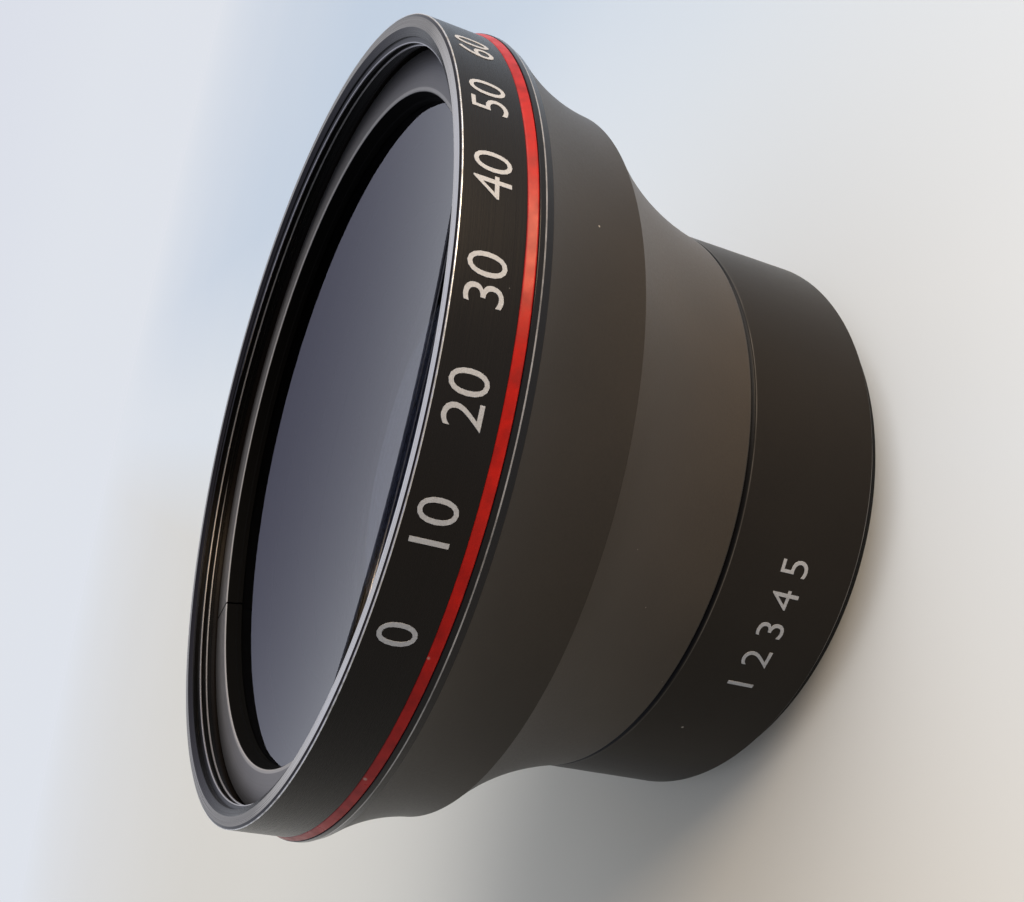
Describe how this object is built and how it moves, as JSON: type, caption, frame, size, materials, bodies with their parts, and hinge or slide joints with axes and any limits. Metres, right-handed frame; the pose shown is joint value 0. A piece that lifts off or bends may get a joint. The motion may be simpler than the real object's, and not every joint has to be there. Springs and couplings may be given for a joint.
{
  "type": "wide-angle converter lens",
  "caption": "Screw-on wide-angle converter with a detachable close-up unit: flared black aluminium barrel, red trim ring and coated front glass.",
  "frame": {"origin": "centre of the rear thread's end face, on the optical axis, on the surface that the part stands on", "axes": "+Z along the optical axis towards the front glass, -Y towards the side that the picture shows"},
  "size_m": [0.0816, 0.0814, 0.0511],
  "materials": {
    "front_ring": "smooth satin black anodised",
    "red_trim": "gloss red enamel",
    "wide_barrel": "bead-blasted, black anodised",
    "macro_barrel": "fine bead-blasted, black anodised",
    "split_ring": "turned satin, black anodised",
    "black_ring": "matt black anodised",
    "coated_glass": "polished, bluish anti-reflection coating"
  },
  "bodies": {
    "macro_unit": {"macro_barrel": "macro_barrel", "macro_element": "coated_glass", "macro_retaining_ring": "black_ring"},
    "wide_glass": {"front_element": "coated_glass", "inner_element": "coated_glass"},
    "wide_unit": {"wide_barrel": "wide_barrel", "inner_retaining_ring": "black_ring", "front_retaining_ring": "split_ring", "red_trim_ring": "red_trim", "front_ring": "front_ring"}
  },
  "joints": [
    {"name": "wide_unit_lift", "type": "slide", "parent": "macro_unit", "child": "wide_glass", "axis": [0, 0, 1], "range_m": [0, 0.00375]},
    {"name": "wide_unit_turn", "type": "hinge", "parent": "wide_glass", "child": "wide_unit", "pos_m": [0, 0, 0.0175], "axis": [0, 0, 1], "range_deg": [0, 1800]}
  ],
  "couplings": [
    {"joint": "wide_unit_lift", "follows": "wide_unit_turn", "m_per_rad": 0.00011937}
  ]
}
